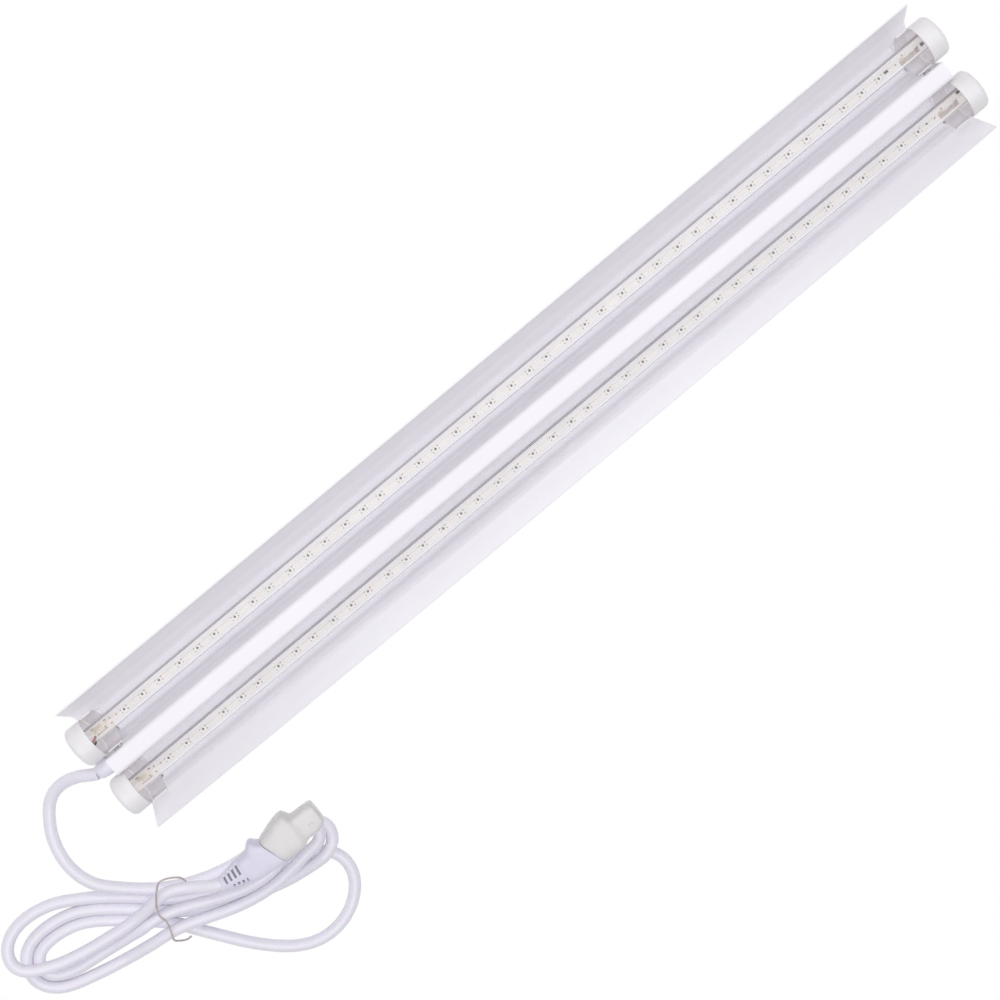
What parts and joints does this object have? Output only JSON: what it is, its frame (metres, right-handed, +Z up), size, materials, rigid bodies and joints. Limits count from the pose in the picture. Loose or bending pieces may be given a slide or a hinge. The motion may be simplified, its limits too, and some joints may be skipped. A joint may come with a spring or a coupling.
{
  "type": "led light tube",
  "caption": "Twin-tube LED strip light with a white folded reflector, clear tubes, and a hanked mains lead with a moulded plug",
  "frame": {"origin": "centre of the fixture's footprint, on the surface its tray rests on (the lead, its hank and its plug are left out)", "axes": "+X along the tubes, towards the end away from the lead; +Y across the fixture towards tube 1; +Z up, out of the LED side"},
  "size_m": [0.7138, 0.1999, 0.034],
  "materials": {
    "white_paint": "semi-gloss white powder coat",
    "clear_tube": "clear polycarbonate tube",
    "cap_white": "glossy white plastic",
    "cradle_grey": "grey plastic",
    "board_cream": "white solder mask",
    "rail_aluminium": "mill-finish extrusion",
    "cord_white": "white PVC jacket",
    "plug_white": "moulded white PVC",
    "cover_translucent": "translucent soft plastic",
    "tie_wire": "plastic-coated wire",
    "prong_brass": "plain brass",
    "screw_steel": "zinc plated",
    "board_green": "green solder mask",
    "part_black": "moulded black",
    "part_blue": "blue sleeve",
    "feed_red": "red PVC insulation"
  },
  "bodies": {
    "fixture": {"reflector": "white_paint", "base_tray": "white_paint", "tray_end_near": "white_paint", "tray_end_far": "white_paint", "ridge_plug_near": "cap_white", "ridge_plug_far": "cap_white", "cable_gland": "cord_white", "tube_1": "clear_tube", "tube_2": "clear_tube", "led_rail_1": "rail_aluminium", "led_rail_2": "rail_aluminium", "led_board_1": "board_cream", "led_board_2": "board_cream", "end_cap_near_1": "cap_white", "end_cap_far_1": "cap_white", "end_cap_near_2": "cap_white", "end_cap_far_2": "cap_white", "tube_cradle_near_1": "cradle_grey", "tube_cradle_far_1": "cradle_grey", "tube_cradle_near_2": "cradle_grey", "tube_cradle_far_2": "cradle_grey", "driver_board": "board_green", "transformer": "part_black", "film_capacitor": "part_blue", "rectifier": "part_black", "terminal_block": "cord_white", "input_capacitor": "part_black", "output_capacitor": "part_blue", "inductor": "part_black", "fuse": "cover_translucent", "board_screw_1": "screw_steel", "board_screw_2": "screw_steel", "standoff_1": "prong_brass", "standoff_2": "prong_brass", "feed_1": "feed_red", "feed_2": "part_black", "cord_lead": "cord_white", "cord_hank": "cord_white", "cord_plug_lead": "cord_white", "twist_tie": "tie_wire", "plug_strain_relief": "plug_white", "plug_body": "plug_white", "plug_face": "plug_white", "prong_live": "prong_brass", "prong_neutral": "prong_brass", "prong_earth": "prong_brass"},
    "cover": {"prong_cover": "cover_translucent"}
  },
  "joints": [
    {"name": "cover_pull_off", "type": "slide", "parent": "fixture", "child": "cover", "axis": [0.9986, -0.0523, 0], "range_m": [0, 0.025]}
  ]
}
